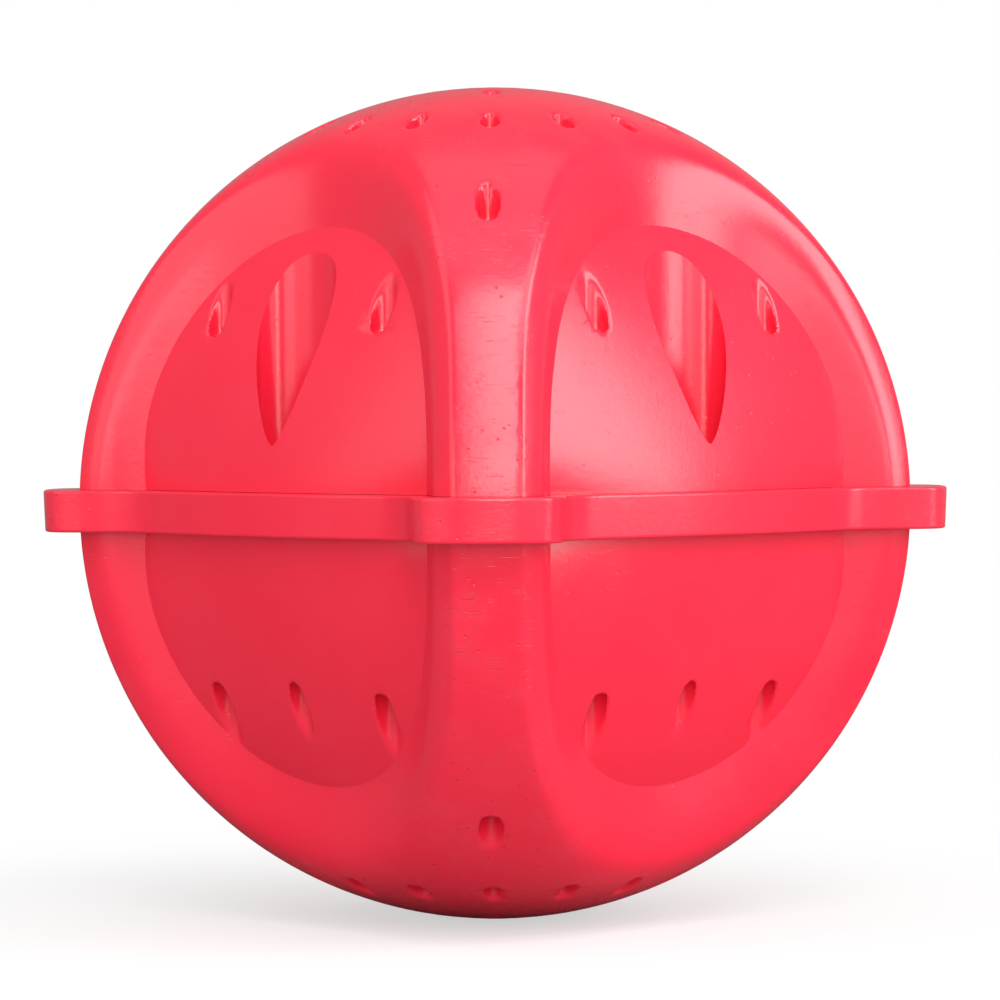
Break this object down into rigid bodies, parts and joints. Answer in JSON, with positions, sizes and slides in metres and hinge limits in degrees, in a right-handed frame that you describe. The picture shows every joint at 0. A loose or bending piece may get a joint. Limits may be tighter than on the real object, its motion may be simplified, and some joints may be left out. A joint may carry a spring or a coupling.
{
  "type": "laundry ball",
  "caption": "Soft two-part laundry ball with ribs, recessed panels, tall water pockets and a lobed flange, around a sealed magnet capsule.",
  "frame": {"origin": "the ball's centre, 0.5 mm above the flange's mid-height", "axes": "+Z along the ball's axis towards the half with the tall pockets, -Y towards the front rib, +X towards the right-hand rib"},
  "size_m": [0.087, 0.087, 0.08],
  "materials": {
    "soft_red": "satin moulded soft plastic",
    "capsule_plastic": "moulded",
    "seal_rubber": "matt",
    "ferrite": "ground, matt",
    "plate_steel": "zinc plated",
    "bolt_steel": "stainless",
    "pad_foam": "closed-cell foam"
  },
  "bodies": {
    "lower_half": {"lower_shell": "soft_red"},
    "core": {"core_cup": "capsule_plastic", "core_lid": "capsule_plastic", "lid_seal": "seal_rubber", "core_bolt": "bolt_steel", "core_nut": "bolt_steel", "lower_pad": "pad_foam", "upper_pad": "pad_foam", "ring_magnet_1": "ferrite", "ring_magnet_2": "ferrite", "ring_magnet_3": "ferrite", "ring_magnet_4": "ferrite", "pole_plate_1": "plate_steel", "pole_plate_2": "plate_steel", "pole_plate_3": "plate_steel", "pole_plate_4": "plate_steel", "pole_plate_5": "plate_steel"},
    "upper_half": {"upper_shell": "soft_red"}
  },
  "joints": [
    {"name": "core_lift", "type": "slide", "parent": "lower_half", "child": "core", "axis": [0, 0, 1], "range_m": [0, 0.035]},
    {"name": "upper_lift", "type": "slide", "parent": "core", "child": "upper_half", "axis": [0, 0, 1], "range_m": [0, 0.035]}
  ]
}
